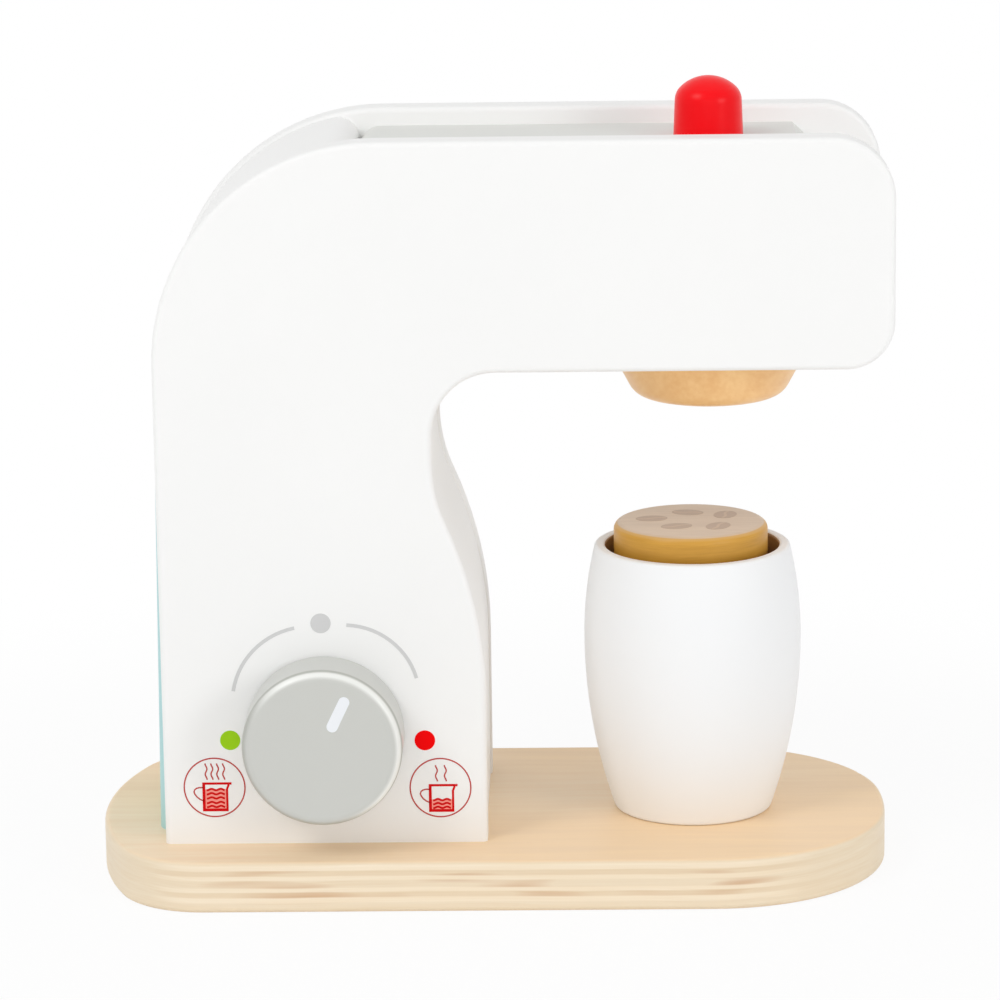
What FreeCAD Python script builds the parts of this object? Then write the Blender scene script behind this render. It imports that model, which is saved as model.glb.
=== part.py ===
import FreeCAD, Part
import os
from math import cos, pi, sin, sqrt

# Toy coffee machine, made of wood, in millimetres.
# X runs to the right along the arm, Y to the back and Z up.
# The origin is the centre of the base board's underside.

# Base board: plywood, bowed at both ends
base_length = 222.0
base_width = 110.7
base_thickness = 14.5
base_left_bow = 103.6
base_right_bow = 111.9
base_left_corner = 26.0
base_right_corner = 49.2
bow_least_half = 4.0  # half of the bow that is left between two corners
edge_round = 1.5

# Body: two side panels with solid wood between them
body_setback = 20.3  # left end of the base board to the body's back edge
body_length = 201.5  # back edge to the end of the arm
body_height = 195.9
core_width = 55.0
panel_thickness = 10.0
shoulder_radius = 61.0
arm_height = 63.4
arm_top_radius = 17.0
arm_bottom_radius = 13.0
cove_radius = 17.5  # between the arm's underside and the column
foot_length = 89.5
waist_depth = 13.8  # how far the column's inner edge curves in
waist_below_arm = 25.0
waist_upper_radius = 42.0
waist_lower_radius = 118.0
core_back_inset = 1.0
core_inner_inset = 0.5
block_round = 6.0

# Arm block: lower than the panels and shorter than the arm
arm_block_setback = 54.5  # body's back edge to the joint with the column block
arm_block_length = 128.0
arm_block_chamfer = 6.0
deck_drop = 5.1

# Water tank: stands in a niche at the back of the column, its face a little proud
tank_depth = 30.0
tank_height = 117.5
tank_proud_at_foot = 3.0
tank_proud_at_top = 1.4
tank_corner_radius = 8.0
tank_clearance = 0.4

# Button: a turned knob on a stem, lifted by a spring
button_from_arm_end = 49.35
button_diameter = 18.5
button_skirt_diameter = 19.3
button_height = 17.1  # above the arm block
button_dome_height = 6.85
button_dome_round = 5.2  # where the dome meets the side
button_skirt_depth = 6.0  # inside the arm block
button_clearance = 0.5
button_travel = 6.0
stem_diameter = 10.0
stem_guide_length = 16.0
spring_length = 20.0
spring_diameter = 15.0  # at the middle of the wire
spring_wire = 1.2
spring_turns = 6
spring_flats = 8
spring_seat_gap = 0.05

# Nozzle: a turned bowl with a tenon in the arm block
nozzle_lap = 0.5  # past the arm block at each side
nozzle_diameter = core_width + 2 * nozzle_lap
nozzle_mouth_diameter = 41.0
nozzle_height = 13.9
nozzle_mouth_round = 6.0
nozzle_rim_round = 0.8
tenon_diameter = 18.0

# Knob: a turned disc on an axle through the front panel
knob_diameter = 44.0
knob_thickness = 17.0
knob_from_body_back = 45.0
knob_above_base = 31.9
knob_front_round = 2.8
knob_back_round = 0.8
axle_diameter = 8.0
axle_in_knob = 10.0
knob_pocket_diameter = 20.0
knob_pocket_depth = 8.0

# Cup and coffee disc, standing under the nozzle
cup_left_of_nozzle = 4.9
cup_forward = 2.5
cup_height = 76.4
cup_belly_diameter = 61.0
cup_belly_height = 50.0
cup_lower_curve = 152.0
cup_upper_curve = 112.0
cup_foot_round = 1.2
cup_rim_round = 0.9
cup_bore_diameter = 48.6
cup_bore_depth = 13.0
cup_bore_round = 2.0
disc_diameter = 43.2
disc_proud = 6.4
disc_top_round = 2.2
disc_bottom_round = 1.0
disc_left_of_cup = 0.4

# Dowels and screws
dowel_diameter = 8.0
dowel_in_panel = 7.0
dowel_in_core = 15.0
dowel_end_gap = 0.5
dowel_edge_distance = 30.0
arm_dowel_half_length = 15.0
arm_dowel_spacing = 30.0
screw_diameter = 4.0
screw_length = 30.0
screw_head_diameter = 8.0
screw_head_sunk = 0.4
screw_edge_distance = 12.0
small_screw_diameter = 3.5
small_screw_length = 14.0
small_head_diameter = 7.0
small_head_height = 2.6
washer_diameter = 15.0
washer_thickness = 1.5
drive_width = 1.0
drive_depth = 1.4

# Clearances
running_fit = 0.05  # on the radius, where a piece turns or slides
glued_fit = 0.03  # on the radius, round dowels, tenons and screws
moving_gap = 0.3  # between faces that move past each other
bench_margin = 5.0  # how far a cutting shape runs past what it cuts

# Places worked out from these sizes
body_back = body_setback - base_length / 2
arm_end = body_back + body_length
foot_front = body_back + foot_length
body_top = base_thickness + body_height
arm_bottom = body_top - arm_height
deck_top = body_top - deck_drop
shoulder_x = body_back + shoulder_radius
shoulder_z = body_top - shoulder_radius
neck_x = foot_front - waist_depth
heel_z = arm_bottom - cove_radius  # where the column block ends under the arm block
waist_top = arm_bottom - waist_below_arm
waist_radii = waist_upper_radius + waist_lower_radius
waist_height = sqrt(2 * waist_depth * waist_radii - waist_depth ** 2)
waist_bottom = waist_top - waist_height
joint_x = body_back + arm_block_setback
arm_block_end = joint_x + arm_block_length
niche_x = body_back + tank_depth
niche_top = base_thickness + tank_height + tank_clearance
panel_face = core_width / 2 + panel_thickness
button_x = arm_end - button_from_arm_end
recess_floor = deck_top - button_skirt_depth - spring_length
guide_bottom = recess_floor - stem_guide_length
stem_bottom = guide_bottom - moving_gap
tenon_top = stem_bottom - washer_thickness - small_head_height - button_travel - moving_gap
knob_x = body_back + knob_from_body_back
knob_z = base_thickness + knob_above_base
axle_end = -core_width / 2 + moving_gap
cup_x = button_x - cup_left_of_nozzle
cup_y = -cup_forward
cup_floor = base_thickness + cup_height - cup_bore_depth


def vector(x, y, z):
    return FreeCAD.Vector(x, y, z)


class Outline:
    """A closed outline of lines and arcs, drawn in the XZ or the XY plane."""

    def __init__(self, plane, a, b):
        self.plane = plane
        self.first = self.last = (a, b)
        self.edges = []

    def place(self, point):
        a, b = point
        return vector(a, 0, b) if self.plane == "XZ" else vector(a, b, 0)

    def line(self, a, b):
        self.edges.append(Part.LineSegment(self.place(self.last), self.place((a, b))).toShape())
        self.last = (a, b)

    def arc(self, a, b, centre):
        """An arc of less than half a turn about centre, to the point (a, b)."""
        from_centre = [(p[0] - centre[0], p[1] - centre[1]) for p in (self.last, (a, b))]
        radius = sqrt(from_centre[0][0] ** 2 + from_centre[0][1] ** 2)
        middle = (from_centre[0][0] + from_centre[1][0], from_centre[0][1] + from_centre[1][1])
        scale = radius / sqrt(middle[0] ** 2 + middle[1] ** 2)
        on_arc = (centre[0] + middle[0] * scale, centre[1] + middle[1] * scale)
        ends = [self.place(p) for p in (self.last, on_arc, (a, b))]
        self.edges.append(Part.Arc(*ends).toShape())
        self.last = (a, b)

    def face(self):
        if self.last != self.first:
            self.line(*self.first)
        return Part.Face(Part.Wire(Part.__sortEdges__(self.edges)))

    def across(self, y_from, y_to):
        """The solid between two planes across Y."""
        return self.face().translated(vector(0, y_from, 0)).extrude(vector(0, y_to - y_from, 0))

    def upwards(self, z_from, z_to):
        return self.face().translated(vector(0, 0, z_from)).extrude(vector(0, 0, z_to - z_from))

    def turned(self, x, y):
        """The solid turned from a half section in XZ, with its axis upright at (x, y)."""
        return self.face().revolve(vector(0, 0, 0), vector(0, 0, 1), 360).translated(vector(x, y, 0))


def box(x_from, x_to, y_from, y_to, z_from, z_to):
    return Part.makeBox(x_to - x_from, y_to - y_from, z_to - z_from, vector(x_from, y_from, z_from))


def upright(radius, x, y, z_from, z_to):
    return Part.makeCylinder(radius, z_to - z_from, vector(x, y, z_from))


def along_y(radius, x, z, y_from, y_to):
    return Part.makeCylinder(radius, y_to - y_from, vector(x, y_from, z), vector(0, 1, 0))


def along_x(radius, y, z, x_from, x_to):
    return Part.makeCylinder(radius, x_to - x_from, vector(x_from, y, z), vector(1, 0, 0))


def round_edges(solid, radius, wanted):
    """Rounds the edges whose middle point the function wanted accepts."""
    chosen = []
    for edge in solid.Edges:
        middle = edge.valueAt((edge.FirstParameter + edge.LastParameter) / 2)
        if wanted(middle, edge):
            chosen.append(edge)
    return solid.makeFillet(radius, chosen)


def is_at(value, target):
    return abs(value - target) < 1e-4


def base_end(outline, side, bow, corner):
    """Draws one bowed end, from one long side to the other, with side -1 at the left."""
    half_width = base_width / 2
    corner = min(corner, half_width - bow_least_half)
    bow_x = side * (base_length / 2 - bow)
    corner_run = sqrt((bow - corner) ** 2 - (half_width - corner) ** 2)
    corner_x = bow_x + side * corner_run
    reach = bow / (bow - corner)
    blend_x = bow_x + side * corner_run * reach
    blend_y = (half_width - corner) * reach
    outline.line(corner_x, side * -half_width)
    outline.arc(blend_x, side * -blend_y, (corner_x, side * (corner - half_width)))
    outline.arc(blend_x, side * blend_y, (bow_x, 0))
    outline.arc(corner_x, side * half_width, (corner_x, side * (half_width - corner)))


def screw_places():
    """Centres of the four base screws, near the corners of the column block's foot."""
    across = core_width / 2 - screw_edge_distance
    for x in (niche_x + screw_edge_distance, foot_front - screw_edge_distance):
        for y in (-across, across):
            yield x, y


def base_board():
    outline = Outline("XY", 0, -base_width / 2)
    base_end(outline, 1, base_right_bow, base_right_corner)
    base_end(outline, -1, base_left_bow, base_left_corner)
    board = outline.upwards(0, base_thickness)
    board = round_edges(board, edge_round, lambda p, e: is_at(p.z, 0) or is_at(p.z, base_thickness))
    for x, y in screw_places():
        board = board.cut(screw_hole().translated(vector(x, y, 0)))
    return board


def body_outline(back_inset, inner_inset):
    """The side view of the body, moved in at the back and top, and at the column's inner edge."""
    back = body_back + back_inset
    top = body_top - back_inset
    inner = foot_front - inner_inset
    neck = neck_x - inner_inset
    upper_share = waist_upper_radius / waist_radii
    waist_turn = (neck + waist_depth * upper_share, waist_top - waist_height * upper_share)
    outline = Outline("XZ", inner, base_thickness)
    outline.line(back, base_thickness)
    outline.line(back, shoulder_z)
    outline.arc(shoulder_x, top, (shoulder_x, shoulder_z))
    outline.line(arm_end - arm_top_radius, top)
    outline.arc(arm_end, top - arm_top_radius, (arm_end - arm_top_radius, top - arm_top_radius))
    outline.line(arm_end, arm_bottom + arm_bottom_radius)
    below = (arm_end - arm_bottom_radius, arm_bottom + arm_bottom_radius)
    outline.arc(arm_end - arm_bottom_radius, arm_bottom, below)
    outline.line(neck + cove_radius, arm_bottom)
    outline.arc(neck, heel_z, (neck + cove_radius, heel_z))
    outline.line(neck, waist_top)
    outline.arc(*waist_turn, (neck + waist_upper_radius, waist_top))
    outline.arc(inner, waist_bottom, (inner - waist_lower_radius, waist_bottom))
    return outline


def side_panel(side):
    """One side panel, with side -1 at the front. Its inner face is drilled for the dowels."""
    inner_face = side * core_width / 2
    outer_face = side * panel_face
    panel = body_outline(0, 0).across(inner_face, outer_face)

    def on_a_face_above_the_foot(p, e):
        return (is_at(p.y, inner_face) or is_at(p.y, outer_face)) and not is_at(p.z, base_thickness)

    panel = round_edges(panel, edge_round, on_a_face_above_the_foot)
    for hole in panel_dowel_shapes(glued_fit, dowel_end_gap):
        panel = panel.cut(hole)
    return panel


def front_panel():
    bore = along_y(axle_diameter / 2 + running_fit, knob_x, knob_z, -panel_face, -core_width / 2)
    return side_panel(-1).cut(bore)


def back_panel():
    return side_panel(1)


def column_block():
    """Fills the body between the panels, up to the arm block, with a niche for the tank."""
    half = core_width / 2
    block = body_outline(core_back_inset, core_inner_inset).across(-half, half)
    far = arm_end + bench_margin
    block = block.cut(box(joint_x, far, -half, half, heel_z, body_top + bench_margin))

    def at_top_of_joint(p, e):
        return is_at(p.x, joint_x) and p.z > deck_top - block_round and e.Length > core_width / 2

    block = round_edges(block, block_round, at_top_of_joint)
    block = block.cut(box(body_back, niche_x, -half, half, base_thickness, niche_top))
    pocket_end = knob_pocket_depth - half
    block = block.cut(along_y(knob_pocket_diameter / 2, knob_x, knob_z, -half, pocket_end))
    for hole in panel_dowel_shapes(glued_fit, dowel_end_gap) + arm_dowel_shapes(glued_fit, dowel_end_gap):
        block = block.cut(hole)
    for x, y in screw_places():
        block = block.cut(screw_hole().translated(vector(x, y, 0)))
    return block


def arm_block():
    """The bar between the panels, with the button's stepped bore, coved where it meets the column."""
    half = core_width / 2
    neck = neck_x - core_inner_inset
    outline = Outline("XZ", joint_x, heel_z)
    outline.line(joint_x, deck_top - block_round)
    outline.arc(joint_x + block_round, deck_top, (joint_x + block_round, deck_top - block_round))
    outline.line(arm_block_end - arm_block_chamfer, deck_top)
    outline.line(arm_block_end, deck_top - arm_block_chamfer)
    outline.line(arm_block_end, arm_bottom)
    outline.line(neck + cove_radius, arm_bottom)
    outline.arc(neck, heel_z, (neck + cove_radius, heel_z))
    block = outline.across(-half, half)
    recess = button_skirt_diameter / 2 + button_clearance
    block = block.cut(upright(recess, button_x, 0, recess_floor, deck_top + bench_margin))
    block = block.cut(upright(stem_diameter / 2 + running_fit, button_x, 0, arm_bottom, recess_floor))
    block = block.cut(upright(tenon_diameter / 2, button_x, 0, arm_bottom - bench_margin, guide_bottom))
    for hole in panel_dowel_shapes(glued_fit, dowel_end_gap) + arm_dowel_shapes(glued_fit, dowel_end_gap):
        block = block.cut(hole)
    return block


def water_tank():
    half = core_width / 2 - tank_clearance
    top = base_thickness + tank_height
    outline = Outline("XZ", niche_x - tank_clearance, base_thickness)
    outline.line(body_back - tank_proud_at_foot, base_thickness)
    outline.line(body_back - tank_proud_at_top, top)
    outline.line(niche_x - tank_clearance, top)
    tank = outline.across(-half, half)

    def upright_at_the_back(p, e):
        return p.x < body_back and is_at(abs(p.y), half)

    tank = round_edges(tank, tank_corner_radius, upright_at_the_back)
    return round_edges(tank, edge_round, lambda p, e: is_at(p.z, top))


def panel_dowel_places():
    """Where the dowels cross the panels' inner faces: two in the column block, two in the arm block."""
    middle_of_arm = (arm_bottom + deck_top) / 2
    yield niche_x + dowel_diameter * 1.5, shoulder_z + block_round
    yield neck_x - dowel_edge_distance, waist_top - cove_radius
    yield joint_x + arm_dowel_half_length + dowel_edge_distance, middle_of_arm
    yield arm_block_end - dowel_diameter * 1.5, middle_of_arm


def panel_dowel_shapes(fit, end_gap):
    """The dowels, or with a fit and an end gap the holes for them."""
    shapes = []
    for x, z in panel_dowel_places():
        for side in (-1, 1):
            inner = core_width / 2 - dowel_in_core - end_gap
            outer = core_width / 2 + dowel_in_panel + end_gap
            y_from, y_to = sorted((side * inner, side * outer))
            shapes.append(along_y(dowel_diameter / 2 + fit, x, z, y_from, y_to))
    return shapes


def panel_dowels():
    return Part.makeCompound(panel_dowel_shapes(0, 0))


def arm_dowel_shapes(fit, end_gap):
    shapes = []
    reach = arm_dowel_half_length + end_gap
    middle = (heel_z + deck_top) / 2
    for z in (middle - arm_dowel_spacing / 2, middle + arm_dowel_spacing / 2):
        shapes.append(along_x(dowel_diameter / 2 + fit, 0, z, joint_x - reach, joint_x + reach))
    return shapes


def arm_dowels():
    return Part.makeCompound(arm_dowel_shapes(0, 0))


def screw_section(fit):
    """The half section of a countersunk wood screw that points up, with its head at the bottom."""
    head = screw_head_diameter / 2 + fit
    shank = screw_diameter / 2 + fit
    rim = screw_head_sunk + drive_width / 2
    neck = rim + head - shank
    tip = screw_head_sunk + screw_length
    outline = Outline("XZ", 0, screw_head_sunk)
    outline.line(head, screw_head_sunk)
    outline.line(head, rim)
    outline.line(shank, neck)
    outline.line(shank, tip - screw_diameter)
    outline.line(shank / 4, tip)
    outline.line(0, tip)
    return outline


def drive_recess(span, z_from, z_to):
    """The cross that a screwdriver fits in."""
    bars = []
    for length, width in ((span, drive_width), (drive_width, span)):
        bars.append(box(-length / 2, length / 2, -width / 2, width / 2, z_from, z_to))
    return bars[0].fuse(bars[1]).removeSplitter()


def screw_hole():
    mouth = upright(screw_head_diameter / 2 + glued_fit, 0, 0, -bench_margin, screw_head_sunk)
    return screw_section(glued_fit).turned(0, 0).fuse(mouth)


def base_screws():
    screw = screw_section(0).turned(0, 0)
    screw = screw.cut(drive_recess(screw_diameter, screw_head_sunk, screw_head_sunk + drive_depth))
    return Part.makeCompound([screw.translated(vector(x, y, 0)) for x, y in screw_places()])


def pan_screw():
    """A small pan-head screw that points up, with the underside of its head at the origin."""
    head = small_head_diameter / 2
    shank = small_screw_diameter / 2
    crown = head - small_head_height / 2
    outline = Outline("XZ", 0, -small_head_height)
    outline.line(crown, -small_head_height)
    outline.arc(head, -small_head_height / 2, (crown, -small_head_height / 2))
    outline.line(head, 0)
    outline.line(shank, 0)
    outline.line(shank, small_screw_length - small_screw_diameter)
    outline.line(shank / 4, small_screw_length)
    outline.line(0, small_screw_length)
    screw = outline.turned(0, 0)
    return screw.cut(drive_recess(small_screw_diameter, -small_head_height, drive_depth - small_head_height))


def pan_screw_hole():
    """The hole that a small screw fills in a stem or an axle, from the end face up."""
    core = small_screw_diameter / 2 + glued_fit
    hole = upright(core, 0, 0, 0, small_screw_length - washer_thickness + glued_fit)
    return hole


def washer():
    """A plain washer below the XY plane."""
    ring = upright(washer_diameter / 2, 0, 0, -washer_thickness, 0)
    return ring.cut(upright(small_screw_diameter / 2 + glued_fit, 0, 0, -washer_thickness, 0))


def at_stem_end(shape, drop):
    """Puts a small upright shape at the lower end of the button's stem."""
    return shape.translated(vector(button_x, 0, stem_bottom - drop))


def at_axle_end(shape, drop):
    """Lays a small upright shape along Y, at the inner end of the knob's axle."""
    laid = shape.rotated(vector(0, 0, 0), vector(1, 0, 0), 90)
    return laid.translated(vector(knob_x, axle_end + drop, knob_z))


def button():
    """A peg with a low dome that widens a little to its skirt, with its stem below."""
    radius = button_diameter / 2
    skirt = button_skirt_diameter / 2
    stem = stem_diameter / 2
    skirt_bottom = deck_top - button_skirt_depth
    top = deck_top + button_height
    dome_foot = top - button_dome_height
    shoulder = radius - button_dome_round
    below = button_dome_height - button_dome_round
    crown_radius = (shoulder ** 2 + below ** 2) / (2 * below) + button_dome_round
    crown_centre = (0, top - crown_radius)
    reach = crown_radius / (crown_radius - button_dome_round)
    meet = (shoulder * reach, crown_centre[1] + (dome_foot - crown_centre[1]) * reach)
    outline = Outline("XZ", 0, stem_bottom)
    outline.line(stem, stem_bottom)
    outline.line(stem, skirt_bottom)
    outline.line(skirt, skirt_bottom)
    outline.line(skirt, deck_top)
    outline.line(radius, dome_foot)
    outline.arc(*meet, (shoulder, dome_foot))
    outline.arc(0, top, crown_centre)
    return outline.turned(button_x, 0).cut(at_stem_end(pan_screw_hole(), 0))


def button_spring():
    """A compression spring between the floor of the recess and the button's skirt.

    Its wire is drawn with eight flats, which is as round as a hidden spring needs."""
    radius = spring_diameter / 2
    seat = recess_floor + spring_seat_gap + spring_wire / 2
    rise = spring_length - spring_wire - 2 * spring_seat_gap
    coil = Part.makeHelix(rise / spring_turns, rise, radius)
    corners = []
    for corner in range(spring_flats + 1):
        angle = 2 * pi * (corner + 0.5) / spring_flats
        out = spring_wire / 2 * cos(angle)
        corners.append(vector(radius + out, 0, spring_wire / 2 * sin(angle)))
    spring = Part.Wire(coil.Edges).makePipeShell([Part.makePolygon(corners)], True, True)
    return spring.translated(vector(button_x, 0, seat))


def button_washer():
    return at_stem_end(washer(), 0)


def button_screw():
    return at_stem_end(pan_screw(), washer_thickness)


def nozzle():
    """A shallow bowl with sloping sides, held against the arm block by a tenon in the bore."""
    rim = nozzle_diameter / 2
    mouth = nozzle_mouth_diameter / 2
    bottom = arm_bottom - nozzle_height
    tenon = tenon_diameter / 2 - glued_fit
    outline = Outline("XZ", 0, bottom)
    outline.line(mouth, bottom)
    outline.line(rim, arm_bottom)
    outline.line(tenon, arm_bottom)
    outline.line(tenon, tenon_top)
    outline.line(0, tenon_top)
    bowl = outline.turned(button_x, 0)
    bowl = round_edges(bowl, nozzle_mouth_round, lambda p, e: is_at(p.z, bottom))

    def at_rim(p, e):
        return is_at(p.z, arm_bottom) and e.Length > pi * (rim + tenon)

    return round_edges(bowl, nozzle_rim_round, at_rim)


def knob():
    """A turned disc, rounded at the front, drilled at the back for the axle."""
    radius = knob_diameter / 2
    back = -panel_face - moving_gap
    disc = along_y(radius, knob_x, knob_z, back - knob_thickness, back)
    disc = round_edges(disc, knob_front_round, lambda p, e: is_at(p.y, back - knob_thickness))
    disc = round_edges(disc, knob_back_round, lambda p, e: is_at(p.y, back))
    return disc.cut(along_y(axle_diameter / 2 + glued_fit, knob_x, knob_z, back - axle_in_knob, back))


def knob_axle():
    start = -panel_face - moving_gap - axle_in_knob
    axle = along_y(axle_diameter / 2, knob_x, knob_z, start, axle_end)
    return axle.cut(at_axle_end(pan_screw_hole(), 0))


def knob_washer():
    return at_axle_end(washer(), 0)


def knob_screw():
    return at_axle_end(pan_screw(), washer_thickness)


def cup():
    """A barrel-shaped cup, turned from one piece, hollowed at the top to seat the coffee disc."""
    belly = cup_belly_diameter / 2
    belly_z = base_thickness + cup_belly_height
    rim_z = base_thickness + cup_height
    foot = belly - cup_lower_curve + sqrt(cup_lower_curve ** 2 - cup_belly_height ** 2)
    upper_rise = rim_z - belly_z
    rim = belly - cup_upper_curve + sqrt(cup_upper_curve ** 2 - upper_rise ** 2)
    bore = cup_bore_diameter / 2
    outline = Outline("XZ", 0, base_thickness)
    outline.line(foot, base_thickness)
    outline.arc(belly, belly_z, (belly - cup_lower_curve, belly_z))
    outline.arc(rim, rim_z, (belly - cup_upper_curve, belly_z))
    outline.line(bore, rim_z)
    outline.line(bore, cup_floor)
    outline.line(0, cup_floor)
    turned = outline.turned(cup_x, cup_y)
    turned = round_edges(turned, cup_foot_round, lambda p, e: is_at(p.z, base_thickness))
    turned = round_edges(turned, cup_rim_round, lambda p, e: is_at(p.z, rim_z))
    return round_edges(turned, cup_bore_round, lambda p, e: is_at(p.z, cup_floor))


def coffee_disc():
    top = base_thickness + cup_height + disc_proud
    disc = upright(disc_diameter / 2, cup_x - disc_left_of_cup, cup_y, cup_floor, top)
    disc = round_edges(disc, disc_top_round, lambda p, e: is_at(p.z, top))
    return round_edges(disc, disc_bottom_round, lambda p, e: is_at(p.z, cup_floor))


pieces = [
    base_board, front_panel, back_panel, column_block, arm_block, water_tank,
    button, button_spring, button_washer, button_screw, nozzle,
    knob, knob_axle, knob_washer, knob_screw,
    cup, coffee_disc, panel_dowels, arm_dowels, base_screws,
]

os.makedirs("parts", exist_ok=True)
for piece in pieces:
    shape = piece()
    shape.exportStep(f"parts/{piece.__name__}.step")
    centre = shape.BoundBox.Center
    print(f"{piece.__name__:14} {len(shape.Solids)} solids, {shape.Volume / 1000:8.2f} cm3,"
          f" valid {shape.isValid()}, centre {centre.x:.1f} {centre.y:.1f} {centre.z:.1f}")
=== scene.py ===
# %% [markdown]
# # A toy coffee machine in painted wood
#
# The object is a play machine of a plywood base, a white body cut in the shape of an upright with
# a long arm, a grey knob, a red push button, a turned nozzle, a pale blue water tank, and a cup
# with a coffee disc in it. All pieces that carry, turn or slide come ready at their real size from
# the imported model. This notebook gives them their finish: the paint, the varnished wood, and the
# prints that are too thin to be pieces of wood.
#
# The first cell loads the model. Its objects are in metres, X to the right, Y to the back, Z up.

# %% Load the model
from math import cos, pi, radians, sin

import bmesh
import bpy
from mathutils import Matrix, Vector


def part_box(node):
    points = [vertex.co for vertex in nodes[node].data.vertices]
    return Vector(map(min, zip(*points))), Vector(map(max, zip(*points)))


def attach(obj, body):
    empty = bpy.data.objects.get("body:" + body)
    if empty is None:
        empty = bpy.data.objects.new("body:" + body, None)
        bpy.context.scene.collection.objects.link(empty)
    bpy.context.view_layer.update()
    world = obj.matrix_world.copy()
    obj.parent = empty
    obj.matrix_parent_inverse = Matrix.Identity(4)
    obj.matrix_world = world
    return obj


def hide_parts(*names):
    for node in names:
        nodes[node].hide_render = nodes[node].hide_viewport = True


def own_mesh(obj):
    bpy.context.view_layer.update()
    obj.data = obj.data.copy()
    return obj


MM = 0.001

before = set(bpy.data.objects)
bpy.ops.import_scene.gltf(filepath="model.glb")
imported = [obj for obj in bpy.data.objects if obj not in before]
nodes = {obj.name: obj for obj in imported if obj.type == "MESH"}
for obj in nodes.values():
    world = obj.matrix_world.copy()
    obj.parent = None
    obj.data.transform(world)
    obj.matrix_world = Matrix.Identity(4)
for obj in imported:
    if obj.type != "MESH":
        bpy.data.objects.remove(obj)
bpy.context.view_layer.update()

# %% [markdown]
# ## Camera
#
# A product photographer stands well back with a long lens, so that the upright edges stay almost
# parallel. A camera is placed here as on a tripod: a point, a heading, a downward tilt and a small
# roll. Three turns multiplied together say that more plainly than one set of Euler angles would.

# %% Camera
CAMERA_PLACE = Vector((27.8, -1219.7, 390.3)) * MM
HEADING = radians(1.18)  # to the left of straight ahead
TILT = radians(13.25)  # below the horizon
ROLL = radians(-0.78)
LENS = 160.5  # millimetres
SIGHT = 20  # metres, so that the floor isn't cut off

camera = bpy.data.objects.new("camera", bpy.data.cameras.new("camera"))
camera.data.lens = LENS
camera.data.clip_end = SIGHT
turn = Matrix.Rotation(HEADING, 4, "Z") @ Matrix.Rotation(pi / 2 - TILT, 4, "X")
turn = turn @ Matrix.Rotation(ROLL, 4, "Z")
camera.matrix_world = Matrix.Translation(CAMERA_PLACE) @ turn
bpy.context.scene.collection.objects.link(camera)
bpy.context.scene.camera = camera
bpy.context.scene.view_settings.view_transform = "Standard"
print("camera", round(CAMERA_PLACE.length, 2), "m from the origin, lens", LENS, "mm")

# %% [markdown]
# ## Shader nodes from code
#
# A material is a small graph. Building it node by node in code gets long, so one helper adds a
# node, sets its options, and fills its inputs: a plain value is stored, an output of another node
# is linked. Two more open and place a node group with named inputs and outputs, for the effects
# that several materials share. The last three mix two colours, bend the surface by a height, and
# turn the numbers of a picture's colour into light.

# %% Helpers for shader graphs
def add(tree, kind, inputs=None, **options):
    """Adds a node, sets its options, and fills its inputs with values or with links."""
    made = tree.nodes.new("ShaderNode" + kind)
    for name, value in options.items():
        setattr(made, name, value)
    for name, value in (inputs or {}).items():
        if isinstance(value, bpy.types.NodeSocket):
            tree.links.new(value, made.inputs[name])
        else:
            made.inputs[name].default_value = value
    return made


def new_group(name, inputs, outputs):
    """Opens a node group. Inputs are {name: default value} and outputs {name: socket kind}."""
    group = bpy.data.node_groups.new(name, "ShaderNodeTree")
    for label, value in inputs.items():
        kind = "NodeSocketFloat"
        if isinstance(value, tuple):
            kind = "NodeSocketColor" if len(value) == 4 else "NodeSocketVector"
        socket = group.interface.new_socket(name=label, in_out="INPUT", socket_type=kind)
        socket.default_value = value
    for label, kind in outputs.items():
        group.interface.new_socket(name=label, in_out="OUTPUT", socket_type=kind)
    source = group.nodes.new("NodeGroupInput").outputs
    sink = group.nodes.new("NodeGroupOutput").inputs
    return group, source, sink


def use_group(tree, group, inputs):
    """Places a node group in a material, with its own values."""
    return add(tree, "Group", inputs, node_tree=group).outputs


def new_material(name, roughness, specular=0.5):
    """A material with a Principled shader, whose roughness and gloss are the same all over."""
    material = bpy.data.materials.new(name)
    material.use_nodes = True
    shader = material.node_tree.nodes["Principled BSDF"]
    shader.inputs["Roughness"].default_value = roughness
    shader.inputs["Specular IOR Level"].default_value = specular
    return material, material.node_tree, shader


def blend(tree, share, first, second, blend_type="MIX"):
    """Mixes two colours. Each is a value or an output."""
    inputs = {"Factor": share, 6: first, 7: second}
    return add(tree, "Mix", inputs, data_type="RGBA", blend_type=blend_type).outputs[2]


def add_bump(tree, shader, height, strength, depth):
    """Lets a height bend the surface's normal. The depth is in millimetres."""
    bump = add(tree, "Bump", {"Height": height, "Strength": strength, "Distance": depth * MM})
    tree.links.new(bump.outputs[0], shader.inputs["Normal"])


def colour(red, green, blue):
    """A colour in the numbers of a picture, 0 to 255, turned into light by the curve that screens use."""
    def to_light(value):
        share = value / 255
        return share / 12.92 if share < 0.04045 else ((share + 0.055) / 1.055) ** 2.4

    return (to_light(red), to_light(green), to_light(blue), 1.0)


print("helpers ready")

# %% [markdown]
# ## Light and floor
#
# Toys are photographed in a white tent with soft boxes round it. One at each side gives the red
# button its pair of highlights, a large one low in front keeps the front brightest, and a weak one
# above lights the top faces. The white tent itself fills every shadow. A picture of a studio could
# light the toy as well, but area lamps need no file, and each can be moved alone. The floor is pale
# paper. Close to the toy it takes the shadow as real paper does, and further out it fades into
# white, which a plain white floor wouldn't do under so soft a light.

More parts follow.
